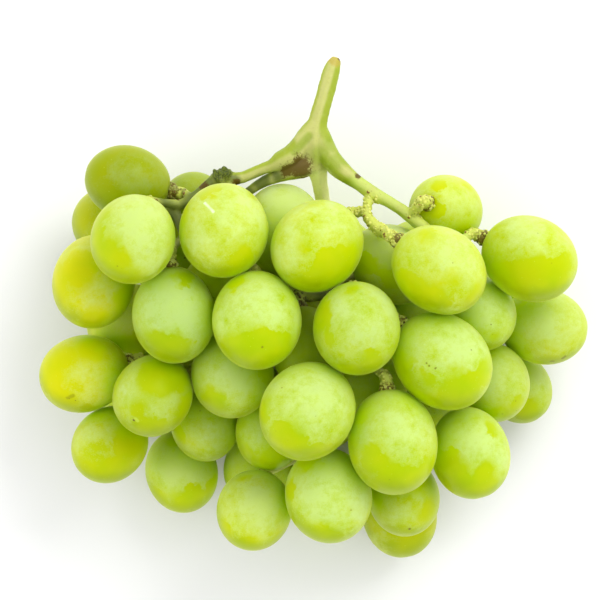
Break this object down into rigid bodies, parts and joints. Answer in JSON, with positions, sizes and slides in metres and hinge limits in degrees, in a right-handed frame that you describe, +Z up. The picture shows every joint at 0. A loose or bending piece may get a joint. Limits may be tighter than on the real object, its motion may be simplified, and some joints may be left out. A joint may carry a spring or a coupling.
{
  "type": "bunch of grapes",
  "caption": "Bunch of plump green table grapes, laid down on its side, with a forked green stem and a bare stalk at the top.",
  "frame": {"origin": "on the surface that the bunch lies on, under the middle of its bounding box", "axes": "+Z up, +Y towards the cut end of the stem, +X across the bunch"},
  "size_m": [0.1378, 0.1262, 0.0687],
  "materials": {
    "berry_skin": "satin",
    "stem_bark": "satin"
  },
  "bodies": {
    "root": {"berry_01": "berry_skin", "berry_02": "berry_skin", "berry_03": "berry_skin", "berry_04": "berry_skin", "berry_05": "berry_skin", "berry_06": "berry_skin", "berry_07": "berry_skin", "berry_08": "berry_skin", "berry_09": "berry_skin", "berry_10": "berry_skin", "berry_11": "berry_skin", "berry_12": "berry_skin", "berry_13": "berry_skin", "berry_14": "berry_skin", "berry_15": "berry_skin", "berry_16": "berry_skin", "berry_17": "berry_skin", "berry_18": "berry_skin", "berry_19": "berry_skin", "berry_20": "berry_skin", "berry_21": "berry_skin", "berry_22": "berry_skin", "berry_23": "berry_skin", "berry_24": "berry_skin", "berry_25": "berry_skin", "berry_26": "berry_skin", "berry_27": "berry_skin", "berry_28": "berry_skin", "berry_29": "berry_skin", "berry_30": "berry_skin", "berry_31": "berry_skin", "berry_32": "berry_skin", "berry_33": "berry_skin", "berry_34": "berry_skin", "berry_35": "berry_skin", "berry_36": "berry_skin", "berry_37": "berry_skin", "berry_38": "berry_skin", "berry_39": "berry_skin", "berry_40": "berry_skin", "berry_41": "berry_skin", "berry_42": "berry_skin", "berry_43": "berry_skin", "berry_44": "berry_skin", "berry_45": "berry_skin", "berry_46": "berry_skin", "berry_47": "berry_skin", "berry_48": "berry_skin", "berry_49": "berry_skin", "berry_50": "berry_skin", "berry_51": "berry_skin", "berry_52": "berry_skin", "berry_53": "berry_skin", "stem": "stem_bark"}
  },
  "joints": []
}
